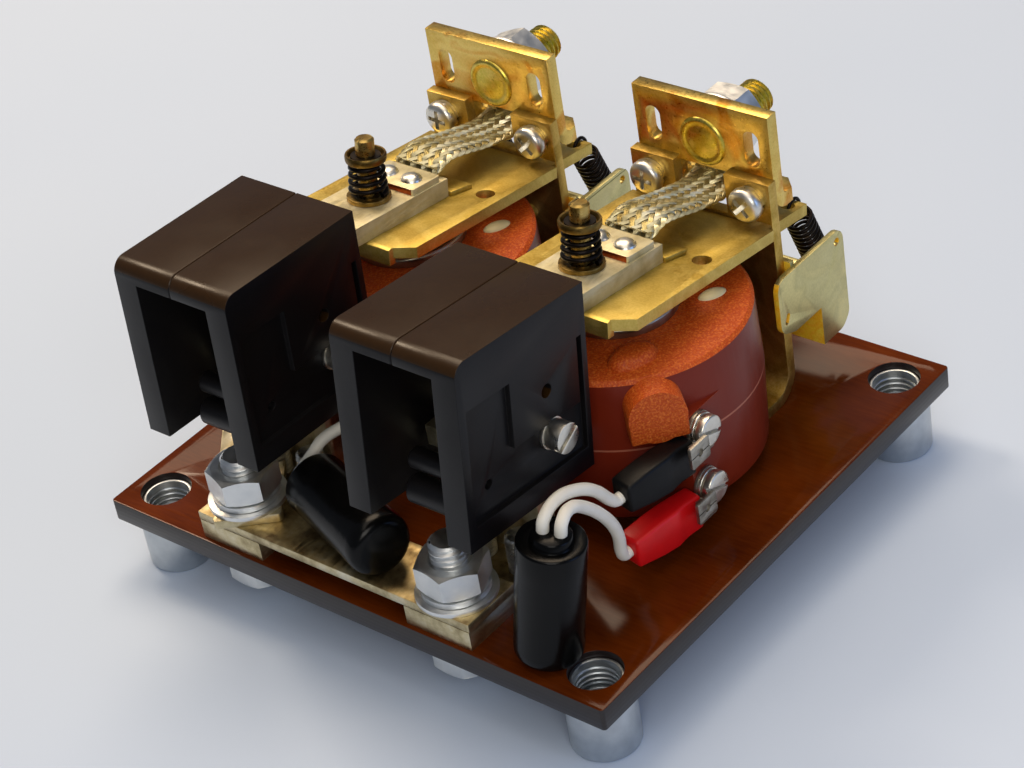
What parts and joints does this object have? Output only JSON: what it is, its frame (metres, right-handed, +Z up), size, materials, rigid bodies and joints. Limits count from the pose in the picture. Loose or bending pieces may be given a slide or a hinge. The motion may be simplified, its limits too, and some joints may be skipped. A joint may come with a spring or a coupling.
{
  "type": "dc contactor",
  "caption": "Open dc contactor on an insulating board: hinged armatures over moulded coils lift spring-loaded contact fingers from fixed contacts under arc chutes.",
  "frame": {"origin": "centre of the board's four fixing holes, on the plane that the spacers stand on", "axes": "+Z up from the board, +X right along the board's front edge, +Y to the rear studs"},
  "size_m": [0.13, 0.1215, 0.0842],
  "materials": {
    "board": "gloss",
    "spacer_metal": "satin",
    "zinc_hardware": "satin",
    "copper_bar": "satin",
    "contact_silver": "satin",
    "yellow_zinc": "satin",
    "gold_zinc": "satin",
    "core_iron": "satin",
    "coil_resin": "gloss",
    "chute_moulding": "satin",
    "black_steel": "satin",
    "braid_copper": "satin",
    "finger_metal": "satin",
    "brass_post": "satin",
    "tinned_brass": "satin",
    "sleeve_black": "gloss",
    "boot_red": "gloss",
    "lead_white": "satin"
  },
  "bodies": {
    "base": {"base_board": "board", "spacers": "spacer_metal", "terminal_bolts": "zinc_hardware", "terminal_washers": "zinc_hardware", "spring_washers": "zinc_hardware", "terminal_nuts": "zinc_hardware", "link_bar": "copper_bar", "side_strap": "copper_bar", "contact_bar_1": "copper_bar", "contact_bar_2": "copper_bar", "fixed_tips": "contact_silver", "clamp_screws": "copper_bar", "yoke_1": "yellow_zinc", "yoke_2": "yellow_zinc", "coil_1": "coil_resin", "coil_2": "coil_resin", "core_1": "core_iron", "core_2": "core_iron", "core_screws": "zinc_hardware", "chute_left_1": "chute_moulding", "chute_right_1": "chute_moulding", "chute_left_2": "chute_moulding", "chute_right_2": "chute_moulding", "chute_screws": "zinc_hardware", "terminal_plate_1": "gold_zinc", "terminal_plate_2": "gold_zinc", "terminal_studs": "gold_zinc", "stud_nuts": "zinc_hardware", "ear_screws": "zinc_hardware", "switch_bracket_1": "yellow_zinc", "switch_bracket_2": "yellow_zinc", "return_springs_1": "black_steel", "return_springs_2": "black_steel", "coil_tabs": "tinned_brass", "coil_screws": "zinc_hardware", "suppressor_1": "sleeve_black", "suppressor_2": "sleeve_black", "leads_1": "lead_white", "leads_2": "lead_white", "connectors_black": "sleeve_black", "connectors_red": "boot_red", "piggyback_tabs": "tinned_brass", "braid_1": "braid_copper", "braid_2": "braid_copper", "braid_ends": "braid_copper"},
    "armature_body_1": {"armature_1": "yellow_zinc", "contact_post_1": "brass_post", "contact_spring_1": "black_steel"},
    "finger_body_1": {"finger_1": "finger_metal", "moving_tip_1": "contact_silver", "seat_washer_1": "brass_post", "braid_lug_1": "finger_metal"},
    "armature_body_2": {"armature_2": "yellow_zinc", "contact_post_2": "brass_post", "contact_spring_2": "black_steel"},
    "finger_body_2": {"finger_2": "finger_metal", "moving_tip_2": "contact_silver", "seat_washer_2": "brass_post", "braid_lug_2": "finger_metal"}
  },
  "joints": [
    {"name": "armature_hinge_1", "type": "hinge", "parent": "base", "child": "armature_body_1", "pos_m": [-0.03, 0.03675, 0.0568], "axis": [1, 0, 0], "range_deg": [0, 8.2], "stiffness_Nm_per_rad": 0.3, "springref_deg": -17.19, "deforming": ["return_springs_1", "braid_1"]},
    {"name": "finger_lift_1", "type": "hinge", "parent": "armature_body_1", "child": "finger_body_1", "pos_m": [-0.03, 0.01212, 0.06288], "axis": [-1, 0, 0], "range_deg": [0, 2.7], "stiffness_Nm_per_rad": 0.6, "springref_deg": -6.88, "deforming": ["contact_spring_1"]},
    {"name": "armature_hinge_2", "type": "hinge", "parent": "base", "child": "armature_body_2", "pos_m": [0.025, 0.03675, 0.0568], "axis": [1, 0, 0], "range_deg": [0, 8.2], "stiffness_Nm_per_rad": 0.3, "springref_deg": -17.19, "deforming": ["return_springs_2", "braid_2"]},
    {"name": "finger_lift_2", "type": "hinge", "parent": "armature_body_2", "child": "finger_body_2", "pos_m": [0.025, 0.01212, 0.06288], "axis": [-1, 0, 0], "range_deg": [0, 2.7], "stiffness_Nm_per_rad": 0.6, "springref_deg": -6.88, "deforming": ["contact_spring_2"]}
  ]
}
